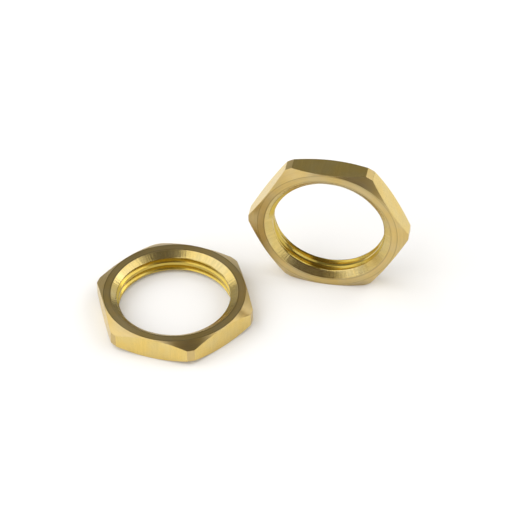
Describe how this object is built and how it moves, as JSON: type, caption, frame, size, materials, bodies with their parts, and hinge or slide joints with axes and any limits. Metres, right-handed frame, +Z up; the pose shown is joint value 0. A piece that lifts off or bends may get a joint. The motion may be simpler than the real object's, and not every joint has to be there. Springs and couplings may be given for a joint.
{
  "type": "cable gland locknut pair",
  "caption": "Thin brass hexagon locknuts with chamfered corners and a countersunk, threaded hole, which clamp a cable gland to an enclosure wall.",
  "frame": {"origin": "on the bench, under the middle of the box around both nuts", "axes": "+X along the longest side of the box, from the lying nut towards the standing nut; +Y from the front face of the standing nut to its back face, along its thread axis; +Z up from the bench"},
  "size_m": [0.0508, 0.0278, 0.024],
  "materials": {
    "brass": "as turned and unplated, with fine tool marks"
  },
  "bodies": {
    "lying_locknut": {"lying_locknut": "brass"},
    "standing_locknut": {"standing_locknut": "brass"}
  },
  "joints": [
    {"name": "standing_locknut_lean", "type": "hinge", "parent": "lying_locknut", "child": "standing_locknut", "pos_m": [0.01188, 0.01386, 0], "axis": [-1, 0, 0], "range_deg": [0, 90]}
  ]
}
